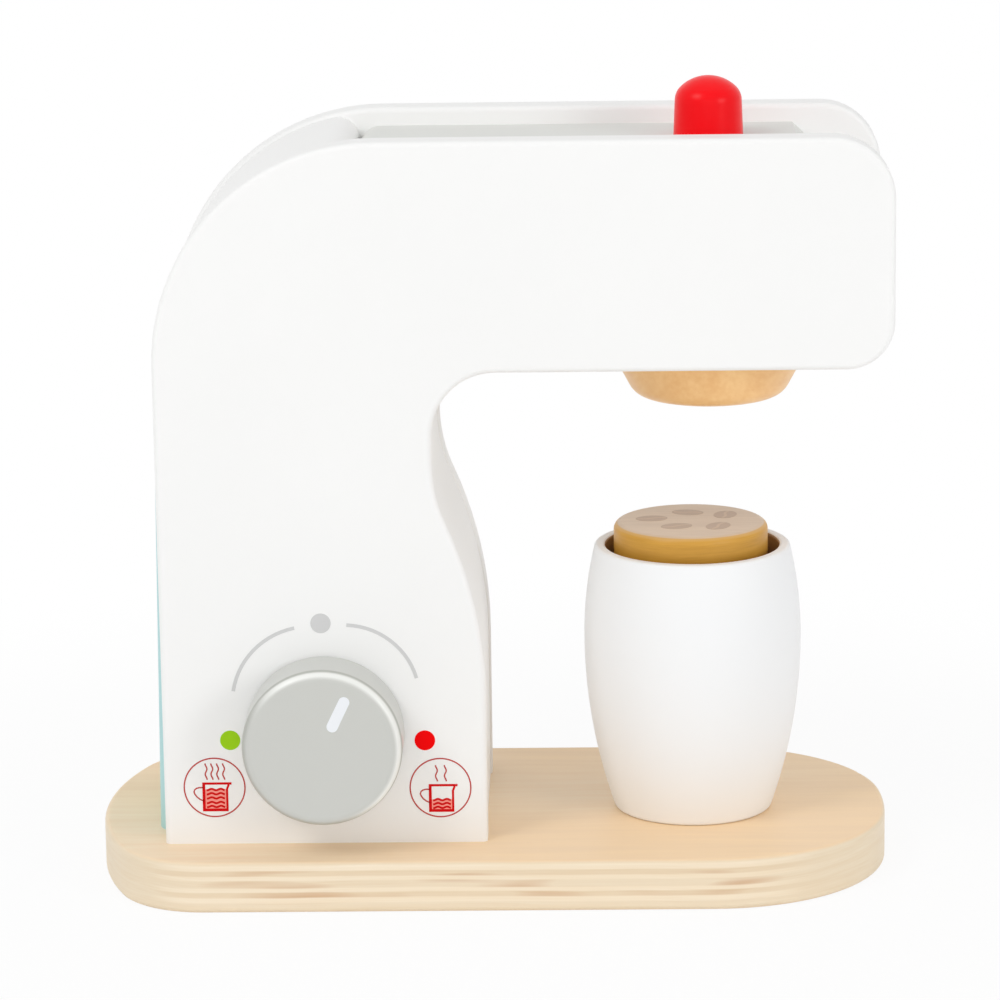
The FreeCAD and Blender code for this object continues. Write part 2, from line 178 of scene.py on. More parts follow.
# %% Light and floor
AMBIENT = 0.635  # how strongly the tent lights the toy
WHITE = (1, 1, 1, 1)
SOFT_BOXES = {  # place, width in metres, power in watts
    "left": (Vector((-0.82, -0.78, 1.15)), 0.6, 5.4),
    "right": (Vector((1.08, -1.02, 0.5)), 0.48, 3.7),
    "front": (Vector((0.1, -2.2, 0.3)), 1.6, 3.2),
    "above": (Vector((0.1, 0.15, 1.7)), 1.2, 0.8),
}
AIM = Vector((0, 0, 0.12))  # the middle of the toy
PAPER = (0.95, 0.95, 0.95, 1)
PAPER_GLOW = 0.9  # how much of its white the paper keeps in the shadow
SHADOW_NEAR = 0.14  # metres from the middle, where the shadow starts to fade
SHADOW_FAR = 0.34  # where it has faded into white
FLOOR_RADIUS = 6
FLOOR_CORNERS = 96


def seen_directly(tree):
    """1 for rays from the camera, or seen in a gloss or through glass, and 0 for lighting rays."""
    path = add(tree, "LightPath").outputs
    seen = path["Is Camera Ray"]
    for kind in ("Is Glossy Ray", "Is Transmission Ray"):
        seen = add(tree, "Math", {0: seen, 1: path[kind]}, operation="MAXIMUM").outputs[0]
    return seen


def light_the_world():
    """The tent: a weak even light, and plain white where it is seen."""
    world = bpy.data.worlds.new("tent")
    bpy.context.scene.world = world
    world.use_nodes = True
    tree = world.node_tree
    strength = add(tree, "Mix", {"Factor": seen_directly(tree), 2: AMBIENT, 3: 1.0})
    background = tree.nodes["Background"]
    background.inputs["Color"].default_value = WHITE
    tree.links.new(strength.outputs[0], background.inputs["Strength"])


def soft_box(name, place, size, power):
    """A square area lamp that points at the toy."""
    lamp = bpy.data.lights.new(name, "AREA")
    lamp.shape = "SQUARE"
    lamp.size = size
    lamp.energy = power
    box = bpy.data.objects.new(name, lamp)
    box.location = place
    box.rotation_euler = (place - AIM).to_track_quat("Z", "Y").to_euler()
    bpy.context.scene.collection.objects.link(box)


def floor_paper():
    """Paper that takes a shadow near the toy and fades into white further out."""
    material, tree, paper = new_material("paper", 0.9, 0.1)
    paper.inputs["Base Color"].default_value = PAPER
    white = add(tree, "Emission", {"Color": WHITE, "Strength": 1.0})
    place = add(tree, "TexCoord").outputs["Object"]
    distance = add(tree, "VectorMath", {0: place}, operation="LENGTH").outputs["Value"]
    spread = {"Value": distance, "From Min": SHADOW_NEAR, "From Max": SHADOW_FAR, "To Min": PAPER_GLOW}
    fade = add(tree, "MapRange", spread, interpolation_type="SMOOTHSTEP").outputs[0]
    share = add(tree, "Math", {0: fade, 1: seen_directly(tree)}, operation="MULTIPLY").outputs[0]
    both = add(tree, "MixShader", {0: share, 1: paper.outputs[0], 2: white.outputs[0]})
    tree.links.new(both.outputs[0], tree.nodes["Material Output"].inputs["Surface"])
    return material


def make_floor():
    shape = bmesh.new()
    bmesh.ops.create_circle(shape, cap_ends=True, segments=FLOOR_CORNERS, radius=FLOOR_RADIUS)
    mesh = bpy.data.meshes.new("floor")
    shape.to_mesh(mesh)
    shape.free()
    mesh.materials.append(floor_paper())
    floor = bpy.data.objects.new("floor", mesh)
    bpy.context.scene.collection.objects.link(floor)


light_the_world()
for box_name, (place, size, power) in SOFT_BOXES.items():
    soft_box(box_name, place, size, power)
make_floor()
print("lit by", len(SOFT_BOXES), "soft boxes and a white tent")

# %% [markdown]
# ## Grain
#
# Wood is drawn out along one direction, with broad streaks from the growth rings and fine ones from
# the fibres. A picture of wood would show its seams on a turned piece. Noise has no seams, and when
# its coordinates are squeezed across the grain it gives just such streaks, so one coarse and one
# fine noise are mixed. The group takes the squeeze as a vector, so each piece of wood can run its
# own way.

# %% Grain group
BEND = 0.006  # metres by which a streak leaves the straight line
COLOUR_AND_HEIGHT = {"Color": "NodeSocketColor", "Height": "NodeSocketFloat"}


def make_grain_group():
    inputs = {
        "Squeeze": (8.0, 160.0, 160.0),
        "Fine": 5.0,
        "Light": (0.8, 0.6, 0.4, 1.0),
        "Dark": (0.6, 0.4, 0.25, 1.0),
        "Contrast": 1.0,
    }
    tree, given, made = new_group("grain", inputs, COLOUR_AND_HEIGHT)
    place = add(tree, "TexCoord").outputs["Object"]
    wander = add(tree, "TexNoise", {"Vector": place, "Scale": 14.0, "Detail": 2.0}).outputs["Color"]
    pushed = add(tree, "VectorMath", {0: wander, 1: (BEND, BEND, BEND)}, operation="MULTIPLY").outputs[0]
    bent = add(tree, "VectorMath", {0: place, 1: pushed}, operation="ADD").outputs[0]
    drawn = add(tree, "VectorMath", {0: bent, 1: given["Squeeze"]}, operation="MULTIPLY").outputs[0]
    coarse = {"Vector": drawn, "Scale": 1.0, "Detail": 4.0, "Roughness": 0.6}
    rings = add(tree, "TexNoise", coarse).outputs["Fac"]
    thin = add(tree, "VectorMath", {0: drawn, "Scale": given["Fine"]}, operation="SCALE").outputs[0]
    fibres = add(tree, "TexNoise", {"Vector": thin, "Scale": 1.0, "Detail": 2.0}).outputs["Fac"]
    both = add(tree, "Mix", {"Factor": 0.35, 2: rings, 3: fibres}).outputs[0]
    spread = add(tree, "MapRange", {"Value": both, "From Min": 0.35, "From Max": 0.65}).outputs[0]
    depth = {0: spread, 1: given["Contrast"]}
    share = add(tree, "Math", depth, operation="MULTIPLY", use_clamp=True).outputs[0]
    tree.links.new(blend(tree, share, given["Light"], given["Dark"]), made["Color"])
    tree.links.new(fibres, made["Height"])
    return tree


grain = make_grain_group()
print("group", grain.name, "with", len(grain.nodes), "nodes")

# %% [markdown]
# ## Skin
#
# Sprayed paint is never quite flat. It has a faint orange peel, and on wood a trace of the fibres
# shows through. A plain colour would look like plastic, and peel modelled in the mesh would be far
# too fine. So the group puts out a height for a Bump node, and a slow drift of tone, because a
# painted toy is never one number all over.

# %% Skin group
FIBRE_SQUEEZE = (60.0, 900.0, 900.0)


def make_skin_group():
    inputs = {"Paint": (0.8, 0.8, 0.8, 1.0), "Drift": 0.03, "Peel": 900.0, "Fibres": 0.4}
    tree, given, made = new_group("skin", inputs, COLOUR_AND_HEIGHT)
    place = add(tree, "TexCoord").outputs["Object"]
    slow = add(tree, "TexNoise", {"Vector": place, "Scale": 16.0, "Detail": 2.0}).outputs["Fac"]
    centred = add(tree, "Math", {0: slow, 1: 0.5}, operation="SUBTRACT").outputs[0]
    swing = add(tree, "Math", {0: centred, 1: given["Drift"]}, operation="MULTIPLY").outputs[0]
    level = add(tree, "Math", {0: 1.0, 1: swing}, operation="ADD").outputs[0]
    toned = add(tree, "VectorMath", {0: given["Paint"], "Scale": level}, operation="SCALE").outputs[0]
    peel = add(tree, "TexNoise", {"Vector": place, "Scale": given["Peel"], "Detail": 1.0}).outputs["Fac"]
    along = add(tree, "VectorMath", {0: place, 1: FIBRE_SQUEEZE}, operation="MULTIPLY").outputs[0]
    fibres = add(tree, "TexNoise", {"Vector": along, "Scale": 1.0, "Detail": 2.0}).outputs["Fac"]
    height = add(tree, "Mix", {"Factor": given["Fibres"], 2: peel, 3: fibres}).outputs[0]
    tree.links.new(toned, made["Color"])
    tree.links.new(height, made["Height"])
    return tree


skin = make_skin_group()
print("group", skin.name, "with", len(skin.nodes), "nodes")

# %% [markdown]
# ## Paint
#
# The body, the tank and the button are sprayed. All painted pieces share one recipe: the skin group
# for the colour and a slight bump, and a Principled shader whose gloss is that paint's own. So a
# new paint is one line. The body is satin, the button almost glossy.

# %% Paint
def spray(tree, shader, tone):
    """Joins the skin of sprayed paint to a shader. The tone is a value or an output."""
    made = use_group(tree, skin, {"Paint": tone})
    tree.links.new(made["Color"], shader.inputs["Base Color"])
    add_bump(tree, shader, made["Height"], strength=0.25, depth=0.02)


def paint(name, tone, roughness, gloss):
    material, tree, shader = new_material(name, roughness, gloss)
    spray(tree, shader, tone)
    return material


def finish_node(name, material):
    """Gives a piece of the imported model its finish."""
    mesh = nodes[name].data
    mesh.materials.clear()
    mesh.materials.append(material)


white_paint = paint("white_paint", colour(248, 248, 247), 0.45, gloss=0.3)
deck_paint = paint("deck_paint", colour(228, 229, 225), 0.5, gloss=0.3)
tank_paint = paint("tank_paint", colour(180, 222, 224), 0.45, gloss=0.3)
button_paint = paint("button_paint", colour(252, 2, 17), 0.3, gloss=0.18)

for node_name, finish in {
    "front_panel": white_paint, "back_panel": white_paint, "column_block": white_paint,
    "arm_block": deck_paint, "water_tank": tank_paint, "button": button_paint,
}.items():
    finish_node(node_name, finish)
print("painted the body, the button and the tank")

# %% [markdown]
# ## The knob's painted highlight and shade
#
# The knob's rounded front edge shows a pale crescent where it reflects the lamps, and a dark line of
# shade behind it. Both are painted into its colour: a pale line as painted highlight, and a darker
# line as painted shade. The direction in which the surface faces tells where the edge is: on the
# flat front the normal points straight out, on the side it lies flat, and on the rounding it is
# between the two. So a colour ramp over the normal needs no drawn mask. A second ramp with only the
# painted shade line serves the lower left, which the lamps leave darker. All of it turns with the knob.

# %% The knob's painted highlight and shade
FRONT = (0, -1, 0)
KNOB_GREY = colour(203, 204, 199)
# A pale tone painted on the rounding as a highlight, and a darker line behind it as painted shade.
PAINTED_HIGHLIGHT = colour(240, 241, 237)
PAINTED_SHADE_LINE = colour(180, 181, 174)
HIGHLIGHT_AND_SHADE_STOPS = (  # how straight the surface faces the front, and its tone
    (0.05, KNOB_GREY), (0.22, PAINTED_SHADE_LINE), (0.4, PAINTED_SHADE_LINE),
    (0.6, PAINTED_HIGHLIGHT), (0.84, PAINTED_HIGHLIGHT), (0.975, KNOB_GREY),
)
PLAIN_STOPS = ((0.1, KNOB_GREY), (0.3, PAINTED_SHADE_LINE), (0.6, PAINTED_SHADE_LINE), (0.9, KNOB_GREY))
LIGHT_SIDE = (0.766, 0.0, 0.643)  # up and to the right, where the lamps light the rounding and the highlight is painted


def ramp_of(tree, value, stops):
    """A colour ramp through (position, colour) stops. A new ramp comes with two of them."""
    ramp = add(tree, "ValToRGB", {"Fac": value})
    elements = ramp.color_ramp.elements
    for index, (position, tone) in enumerate(stops):
        stop = elements[index] if index < 2 else elements.new(position)
        stop.position = position
        stop.color = tone
    return ramp.outputs


def light_side_share(tree, facing):
    """1 on the upper right of the knob, where the highlight is painted, and 0 on the lower left."""
    around = add(tree, "VectorMath", {0: facing, 1: (1, 0, 1)}, operation="MULTIPLY").outputs[0]
    outwards = add(tree, "VectorMath", {0: around}, operation="NORMALIZE").outputs[0]
    sides = {0: outwards, 1: LIGHT_SIDE}
    near = add(tree, "VectorMath", sides, operation="DOT_PRODUCT").outputs["Value"]
    reach = {"Value": near, "From Min": -0.55, "From Max": 0.2}
    return add(tree, "MapRange", reach, interpolation_type="SMOOTHSTEP").outputs[0]


def knob_finish():
    material, tree, shader = new_material("knob_paint", 0.3)
    facing = add(tree, "TexCoord").outputs["Normal"]
    straight = add(tree, "VectorMath", {0: facing, 1: FRONT}, operation="DOT_PRODUCT").outputs["Value"]
    toward_light = light_side_share(tree, facing)
    # The first ramp paints only the shade line, the second the highlight as well; the upper right gets the
    # second.
    plain = ramp_of(tree, straight, PLAIN_STOPS)["Color"]
    highlighted = ramp_of(tree, straight, HIGHLIGHT_AND_SHADE_STOPS)["Color"]
    spray(tree, shader, blend(tree, toward_light, plain, highlighted))
    return material


finish_node("knob", knob_finish())
print("painted the knob")

# %% [markdown]
# ## Plywood
#
# The base is cut from plywood, so its edge shows the veneers as bands: those that run with the
# board are light, those that run across it show their end grain and are darker. They could be
# sheets laid on each other, but the height of a point already tells which veneer it is in, so one
# ramp over the height draws them all. Seen on the bowed ends the veneers swap places, so there the
# bands are weaker. The top is one sheet of veneer, whose grain runs the length of the board.

# %% Plywood
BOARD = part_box("base_board")
BOARD_THICKNESS = BOARD[1].z - BOARD[0].z
LIGHT_PLY = colour(249, 234, 210)
MIDDLE_PLY = colour(242, 226, 200)
DARK_PLY = colour(238, 219, 190)
RIM_PLY = colour(246, 224, 184)
KNOT = colour(202, 148, 102)
VENEERS = [  # upper edge above the table in millimetres, tone, how much it shows knots
    (0.7, DARK_PLY, 0), (3.0, MIDDLE_PLY, 0), (4.5, LIGHT_PLY, 0), (6.0, DARK_PLY, 0.7),
    (7.2, LIGHT_PLY, 0), (9.3, MIDDLE_PLY, 0.7), (10.6, LIGHT_PLY, 0), (12.1, DARK_PLY, 1),
    (13.8, LIGHT_PLY, 0), (14.5, RIM_PLY, 0),
]
GLUE_LINE = 0.2  # half of the width over which one veneer's tone passes into the next
RAGGED = 0.3  # how far a glue line strays up and down, in millimetres
KNOT_SQUEEZE = (26.0, 26.0, 200.0)


def veneer_stops():
    """Two stops for each veneer, near its lower and its upper edge. Alpha tells of its knots."""
    lower = 0.0
    for upper, tone, knots in VENEERS:
        for level in (lower + GLUE_LINE, upper - GLUE_LINE):
            yield level * MM / BOARD_THICKNESS, (*tone[:3], knots)
        lower = upper


def knot_mask(tree, place, where):
    """Short dark streaks along the veneers that show knots."""
    drawn = add(tree, "VectorMath", {0: place, 1: KNOT_SQUEEZE}, operation="MULTIPLY").outputs[0]
    spots = add(tree, "TexNoise", {"Vector": drawn, "Scale": 1.0, "Detail": 1.0}).outputs["Fac"]
    reach = {"Value": spots, "From Min": 0.56, "From Max": 0.76, "To Max": 0.9}
    strong = add(tree, "MapRange", reach).outputs[0]
    return add(tree, "Math", {0: strong, 1: where}, operation="MULTIPLY").outputs[0]


def edge_colour(tree, place, facing):
    """The veneers as they show on the edge of the board."""
    height = add(tree, "SeparateXYZ", {0: place}).outputs["Z"]
    ragged = add(tree, "TexNoise", {"Vector": place, "Scale": 45.0, "Detail": 1.0}).outputs["Fac"]
    wave = add(tree, "MapRange", {"Value": ragged, "To Min": -RAGGED * MM, "To Max": RAGGED * MM})
    depth = add(tree, "Math", {0: height, 1: wave.outputs[0]}, operation="ADD").outputs[0]
    share = add(tree, "Math", {0: depth, 1: BOARD_THICKNESS}, operation="DIVIDE").outputs[0]
    bands = ramp_of(tree, share, veneer_stops())
    marked = blend(tree, knot_mask(tree, place, bands["Alpha"]), bands["Color"], KNOT)
    sideways = add(tree, "Math", {0: facing["Y"]}, operation="ABSOLUTE").outputs[0]
    reach = {"Value": sideways, "From Min": 0.8, "From Max": 0.995, "To Min": 0.06}
    strength = add(tree, "MapRange", reach, interpolation_type="SMOOTHSTEP").outputs[0]
    weak = blend(tree, strength, MIDDLE_PLY, marked)
    streaks = use_group(tree, grain, {
        "Squeeze": (9.0, 30.0, 520.0), "Light": WHITE, "Dark": colour(246, 238, 226), "Contrast": 0.6,
    })
    return blend(tree, 1.0, weak, streaks["Color"], blend_type="MULTIPLY")


def top_wood(tree, place):
    """The sheet of veneer on top, whose tone drifts a little over the board."""
    slow = add(tree, "TexNoise", {"Vector": place, "Scale": 13.0, "Detail": 1.0}).outputs["Fac"]
    drift = add(tree, "MapRange", {"Value": slow, "From Min": 0.38, "From Max": 0.62}).outputs[0]
    light = blend(tree, drift, colour(250, 229, 198), colour(253, 222, 180))
    return use_group(tree, grain, {
        "Squeeze": (6.0, 90.0, 60.0), "Light": light, "Dark": colour(245, 214, 176), "Contrast": 0.85,
    })


def plywood():
    material, tree, shader = new_material("plywood", 0.45, 0.35)
    coordinates = add(tree, "TexCoord").outputs
    facing = add(tree, "SeparateXYZ", {0: coordinates["Normal"]}).outputs
    edge = edge_colour(tree, coordinates["Object"], facing)
    top = top_wood(tree, coordinates["Object"])
    level = add(tree, "Math", {0: facing["Z"]}, operation="ABSOLUTE").outputs[0]
    flat = add(tree, "MapRange", {"Value": level, "From Min": 0.55, "From Max": 0.95}).outputs[0]
    tree.links.new(blend(tree, flat, edge, top["Color"]), shader.inputs["Base Color"])
    add_bump(tree, shader, top["Height"], strength=0.2, depth=0.02)
    return material


finish_node("base_board", plywood())
print("plywood of", len(VENEERS), "veneers")

# %% [markdown]
# ## Turned and plain wood
#
# The nozzle is turned from a pale hardwood and only varnished. The disc is painted ochre, with a
# lighter tone on its rounding as a painted highlight, and its top painted a pale brown-rose as a
# painted reflection of the white tent. The cup is white, with bare wood where the disc rests, made
# darker there as painted shade in the gap round the disc.
# Dowels are bare beech, and the small fittings are steel. Every wood takes the grain group with a
# squeeze of its own, which says which way its streaks run. Where one piece has two finishes, its
# shape tells them apart, so nothing is painted by hand: the way a face points on the disc, and how
# far a point is from the axis in the cup.

# %% Turned and plain wood
CUP_BORE_RADIUS = 24.6  # millimetres
CUP_BORE_DEPTH = 14.0  # from the cup's rim down to the step that the disc rests on


def varnished(name, light, dark, roughness, squeeze):
    material, tree, shader = new_material(name, roughness)
    wood = use_group(tree, grain, {"Squeeze": squeeze, "Light": light, "Dark": dark})
    tree.links.new(wood["Color"], shader.inputs["Base Color"])
    add_bump(tree, shader, wood["Height"], strength=0.2, depth=0.03)
    return material


def disc_finish():
    """Ochre paint at the side, a lighter tone on the rounding as a painted highlight, and a pale brown-rose
    top that paints the reflection of the white tent.
    """
    material, tree, shader = new_material("disc_paint", 0.4, 0.35)
    facing = add(tree, "TexCoord").outputs["Normal"]
    up = add(tree, "SeparateXYZ", {0: facing}).outputs["Z"]
    rounding = add(tree, "MapRange", {"Value": up, "From Min": 0.45, "From Max": 0.7}).outputs[0]
    top = add(tree, "MapRange", {"Value": up, "From Min": 0.78, "From Max": 0.9}).outputs[0]
    side = use_group(tree, grain, {
        "Squeeze": (30.0, 30.0, 500.0), "Light": colour(217, 163, 66), "Dark": colour(202, 148, 56),
    })
    # The top's pale brown-rose is a painted reflection of the white tent on the ochre paint.
    reflected_top = use_group(tree, grain, {
        "Squeeze": (20.0, 160.0, 60.0), "Light": colour(224, 203, 179), "Dark": colour(212, 190, 166),
    })
    # The lighter tone on the rounding is a painted highlight.
    body = blend(tree, rounding, side["Color"], colour(217, 171, 98))
    whole = blend(tree, top, body, reflected_top["Color"])
    tree.links.new(whole, shader.inputs["Base Color"])
    return material


def cup_bore(tree):
    """1 in the bore that takes the disc, and 0 on the rest of the cup."""
    low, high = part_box("cup")
    axis = (low + high) / 2
    place = add(tree, "TexCoord").outputs["Object"]
    height = add(tree, "SeparateXYZ", {0: place}).outputs["Z"]
    level = add(tree, "VectorMath", {0: place, 1: (1, 1, 0)}, operation="MULTIPLY").outputs[0]
    ends = {0: level, 1: (axis.x, axis.y, 0)}
    reach = add(tree, "VectorMath", ends, operation="DISTANCE").outputs["Value"]
    inside = add(tree, "Math", {0: reach, 1: CUP_BORE_RADIUS * MM}, operation="LESS_THAN").outputs[0]
    step = high.z - CUP_BORE_DEPTH * MM
    above = add(tree, "Math", {0: height, 1: step}, operation="GREATER_THAN").outputs[0]
    return add(tree, "Math", {0: inside, 1: above}, operation="MULTIPLY").outputs[0]


def cup_finish():
    """White paint outside, and in the bore that takes the disc bare wood, darkened as painted shade in the
    gap round the disc.
    """
    material, tree, shader = new_material("cup_paint", 0.5, 0.25)
    bare_and_shaded = cup_bore(tree)
    painted = use_group(tree, skin, {"Paint": colour(248, 249, 250), "Drift": 0.02})
    # The bore's tone is bare wood made darker, which paints the shade in the narrow gap round the disc.
    whole = blend(tree, bare_and_shaded, painted["Color"], colour(172, 140, 100))
    tree.links.new(whole, shader.inputs["Base Color"])
    add_bump(tree, shader, painted["Height"], strength=0.25, depth=0.02)
    return material


def steel():
    material, tree, shader = new_material("zinc_steel", 0.35)
    made = use_group(tree, skin, {"Paint": (0.6, 0.6, 0.62, 1), "Drift": 0.2})
    tree.links.new(made["Color"], shader.inputs["Base Color"])
    shader.inputs["Metallic"].default_value = 1.0
    return material


nozzle_wood = varnished(
    "turned_wood", colour(253, 207, 144), colour(243, 189, 125),
    roughness=0.35, squeeze=(140.0, 20.0, 140.0),
)
beech = varnished(
    "beech", colour(232, 206, 170), colour(214, 184, 142),
    roughness=0.6, squeeze=(160.0, 12.0, 160.0),
)
finish_node("nozzle", nozzle_wood)
finish_node("coffee_disc", disc_finish())
finish_node("cup", cup_finish())
for node_name in ("panel_dowels", "arm_dowels", "knob_axle"):
    finish_node(node_name, beech)
zinc = steel()
for node_name in (
    "button_spring", "button_washer", "button_screw", "knob_washer", "knob_screw", "base_screws",
):
    finish_node(node_name, zinc)
print("wood and steel done")

# %% [markdown]
# ## The spring
#
# A copy of the button's spring stands for it and rides on the machine's body, and the imported
# spring is hidden. A steel spring gets shorter when the button is pressed, and a solid node
# can't. So a copy of its shape stands for it. The copy keeps the spring's shape and length, and
# has a mesh of its own.

spring = bpy.data.objects.new("coil_spring", nodes["button_spring"].data.copy())
bpy.context.scene.collection.objects.link(spring)
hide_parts("button_spring")
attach(spring, "machine")
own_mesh(spring)

# %% [markdown]
# ## Prints
#
# The scale round the knob and the two signs are printed on the front panel. On the real toy they
# are a hair thick. A picture texture would need a file, and a shader would smear them at a
# distance, so each is a thin plate, cut to its outline and laid on the paint. The plates are made
# flat in the XZ plane, by one of three ways: a circle, an edge spun round a centre, or a strip
# of squares laid along a path.

# %% Helpers for printed plates
INK = 0.05 * MM  # thickness of a print
SAME_PLACE = 1e-7  # metres within which two corners are one
ARC_STEP = 5  # degrees between the corners of an arc
LEAST_ARC_STEPS = 8
PANEL_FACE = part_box("front_panel")[0].y
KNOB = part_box("knob")
KNOB_CENTRE = (KNOB[0] + KNOB[1]) / 2


def flat_circle(shape, x, z, radius, segments=48):
    """A disc in the XZ plane, from sizes in millimetres."""
    made = bmesh.ops.create_circle(shape, cap_ends=True, segments=segments, radius=radius * MM)
    stand = Matrix.Translation((x * MM, 0, z * MM)) @ Matrix.Rotation(pi / 2, 4, "X")
    bmesh.ops.transform(shape, matrix=stand, verts=made["verts"])


def flat_arc(shape, centre, radius, width, start, sweep):
    """A band round a centre, spun from an edge across it. Angles are in degrees."""
    x, z = centre
    ends = [shape.verts.new((radius * MM + side * width * MM / 2, 0, 0)) for side in (-1, 1)]
    edge = shape.edges.new(ends)
    lean = Matrix.Rotation(-radians(start), 4, "Y")
    bmesh.ops.transform(shape, matrix=Matrix.Translation((x * MM, 0, z * MM)) @ lean, verts=ends)
    steps = max(LEAST_ARC_STEPS, round(abs(sweep) / ARC_STEP))
    whole = abs(sweep) >= 360
    bmesh.ops.spin(
        shape, geom=ends + [edge], cent=(x * MM, 0, z * MM), axis=(0, -1, 0), angle=radians(sweep),
        steps=steps, use_merge=whole, use_duplicate=False,
    )


def flat_stroke(shape, path, width):
    """A stroke of even width: a strip of squares, its corners moved along a path of (x, z) points."""
    points = [Vector((x, 0, z)) * MM for x, z in path]
    last = len(points) - 1
    strip = bmesh.ops.create_grid(shape, x_segments=last, y_segments=1, size=1)["verts"]
    for vert in strip:  # the grid reaches from -1 to 1 both ways
        index = round((vert.co.x + 1) / 2 * last)
        side = round(vert.co.y)
        along = points[min(index + 1, last)] - points[max(index - 1, 0)]
        across = Vector((-along.z, 0, along.x)).normalized() * width * MM / 2
        vert.co = points[index] + across * side


def wiggle(start, end, swings, sway, phase=0.0, steps=24):
    """Points along a line that swings to both sides of it."""
    start, end = Vector(start), Vector(end)
    across = Vector((start.y - end.y, end.x - start.x)).normalized()
    for index in range(steps + 1):
        share = index / steps
        yield start.lerp(end, share) + across * sway * cos(2 * pi * (swings * share + phase))


def in_order(parts, place_of):
    """Numbers corners or faces by their place, so that each run writes the same mesh."""
    ranked = sorted(parts, key=lambda part: [round(value / SAME_PLACE) for value in place_of(part)])
    for index, part in enumerate(ranked):
        part.index = index
    parts.sort()


def lay_print(name, shape, material, body, place, thickness=INK):
    """Gives flat faces the thickness of ink, lays them where they belong, and lets them ride."""
    bmesh.ops.remove_doubles(shape, verts=shape.verts, dist=SAME_PLACE)
    raised = bmesh.ops.extrude_face_region(shape, geom=shape.faces[:])["geom"]
    top = [item for item in raised if isinstance(item, bmesh.types.BMVert)]
    bmesh.ops.translate(shape, vec=(0, -thickness, 0), verts=top)
    bmesh.ops.transform(shape, matrix=place, verts=shape.verts)
    bmesh.ops.recalc_face_normals(shape, faces=shape.faces)
    in_order(shape.verts, lambda vert: vert.co)
    in_order(shape.faces, lambda face: face.calc_center_median())
    mesh = bpy.data.meshes.new(name)
    shape.to_mesh(mesh)
    shape.free()
    piece = bpy.data.objects.new(name, mesh)
    bpy.context.scene.collection.objects.link(piece)
    mesh.materials.append(material)
    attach(piece, body)
    print(name, len(mesh.polygons), "faces")


def on_panel(x, z):
    """A place on the front panel, in millimetres from the knob's centre."""
    return Matrix.Translation((KNOB_CENTRE.x + x * MM, PANEL_FACE, KNOB_CENTRE.z + z * MM))


middle = [round(value / MM, 2) for value in KNOB_CENTRE]
print("the knob's middle is at", middle, "mm")

# %% [markdown]
# ## The scale round the knob
#
# Two thin grey arcs lead from a grey dot at the top to a green one at the left and a red one at the
# right, so a child can play at choosing a small or a large drink. Curves with a width could draw
# them, but a spun edge is a flat band at once, and its width is one number. The arcs are drawn a
# little off the knob's centre, as the printed ones are, so each has a centre of its own.

# %% The scale round the knob
grey_print = paint("grey_print", colour(212, 212, 212), 0.5, gloss=0.3)
red_print = paint("red_print", colour(252, 4, 8), 0.6, gloss=0.05)
green_print = paint("green_print", colour(160, 214, 34), 0.6, gloss=0.05)

ARC_WIDTH = 1.0
ARCS = (  # centre, radius, where it starts and how far it turns
    ((-3.5, 8.4), 21.9, 101.5, 69.0),
    ((5.6, 10.0), 20.6, 15.0, 72.5),
)
TOP_DOT = (-0.6, 31.15, 2.8)  # across, up, radius
SIDE_DOTS = (  # across, up, radius, material, slot
    ("green_dot", -26.3, -2.05, 2.8, green_print, "green_print"),
    ("red_dot", 27.5, -2.5, 2.85, red_print, "red_print"),
)

scale = bmesh.new()
flat_circle(scale, *TOP_DOT)
for centre, radius, start, sweep in ARCS:
    flat_arc(scale, centre, radius, ARC_WIDTH, start, sweep)
lay_print("scale_print", scale, grey_print, "machine", on_panel(0, 0))

for name, x, z, radius, material, slot in SIDE_DOTS:
    dot = bmesh.new()
    flat_circle(dot, 0, 0, radius)
    lay_print(name, dot, material, "machine", on_panel(x, z))

# %% [markdown]
# ## The two signs
#
# A full jug stands for a large drink and a nearly empty one for a small drink. Each sign is
# printed in three inks: fine dark lines for the ring, the handle and the steam, red for the jug
# and the waves in it, and a pale red between the waves. Each ink is a plate of its own, as each
# would be a screen of its own for a printer. The pale one is thinner, so that the red lies on top.
# The jug's strokes meet end to side and never lie over each other, because two faces in one plane
# would render as dark spots.

# %% The two signs
fine_ink = paint("fine_ink", colour(192, 72, 68), 0.6, gloss=0.05)
jug_ink = paint("jug_ink", colour(216, 18, 22), 0.6, gloss=0.05)
pale_ink = paint("pale_ink", colour(255, 158, 146), 0.6, gloss=0.05)

FINE, SIDE, SPOUT, BRIM, WAVE = 0.38, 0.8, 0.6, 0.65, 0.58  # widths of the strokes
SIGNS = {  # sizes in millimetres from the ring's centre
    "full_jug": {
        "place": (-31.0, -15.6), "ring": 8.42, "walls": (-3.1, 3.52), "rim": 1.13, "bottom": -6.6,
        "waves": (-0.61, -1.81, -3.02, -4.35, -5.5), "wisps": (-2.24, -0.64, 0.96, 2.62),
    },
    "small_jug": {
        "place": (31.6, -16.15), "ring": 8.4, "walls": (-2.96, 3.52), "rim": 0.7, "bottom": -6.7,
        "waves": (-3.46, -4.6, -5.68), "wisps": (-1.06, 1.4),
    },
}
HANDLE = (  # from the top of the jug's left wall
    (0, -1.15), (-1.1, -1.15), (-1.9, -1.35), (-2.45, -1.8), (-2.65, -2.4), (-2.4, -3.1),
    (-1.8, -3.9), (-1.0, -4.55), (0, -5.0),
)
STEAM_LOW, STEAM_HIGH = 1.1, 5.8  # where a wisp begins and ends, above the rim


def fine_lines(sign):
    """The ring, the handle and the steam."""
    shape = bmesh.new()
    left, rim = sign["walls"][0], sign["rim"]
    flat_arc(shape, (0, 0), sign["ring"], FINE, 0, 360)
    flat_stroke(shape, [(left + x, rim + z) for x, z in HANDLE], FINE)
    for x in sign["wisps"]:
        wisp = wiggle((x, rim + STEAM_LOW), (x, rim + STEAM_HIGH), swings=1.5, sway=-0.25)
        flat_stroke(shape, wisp, FINE)
    return shape


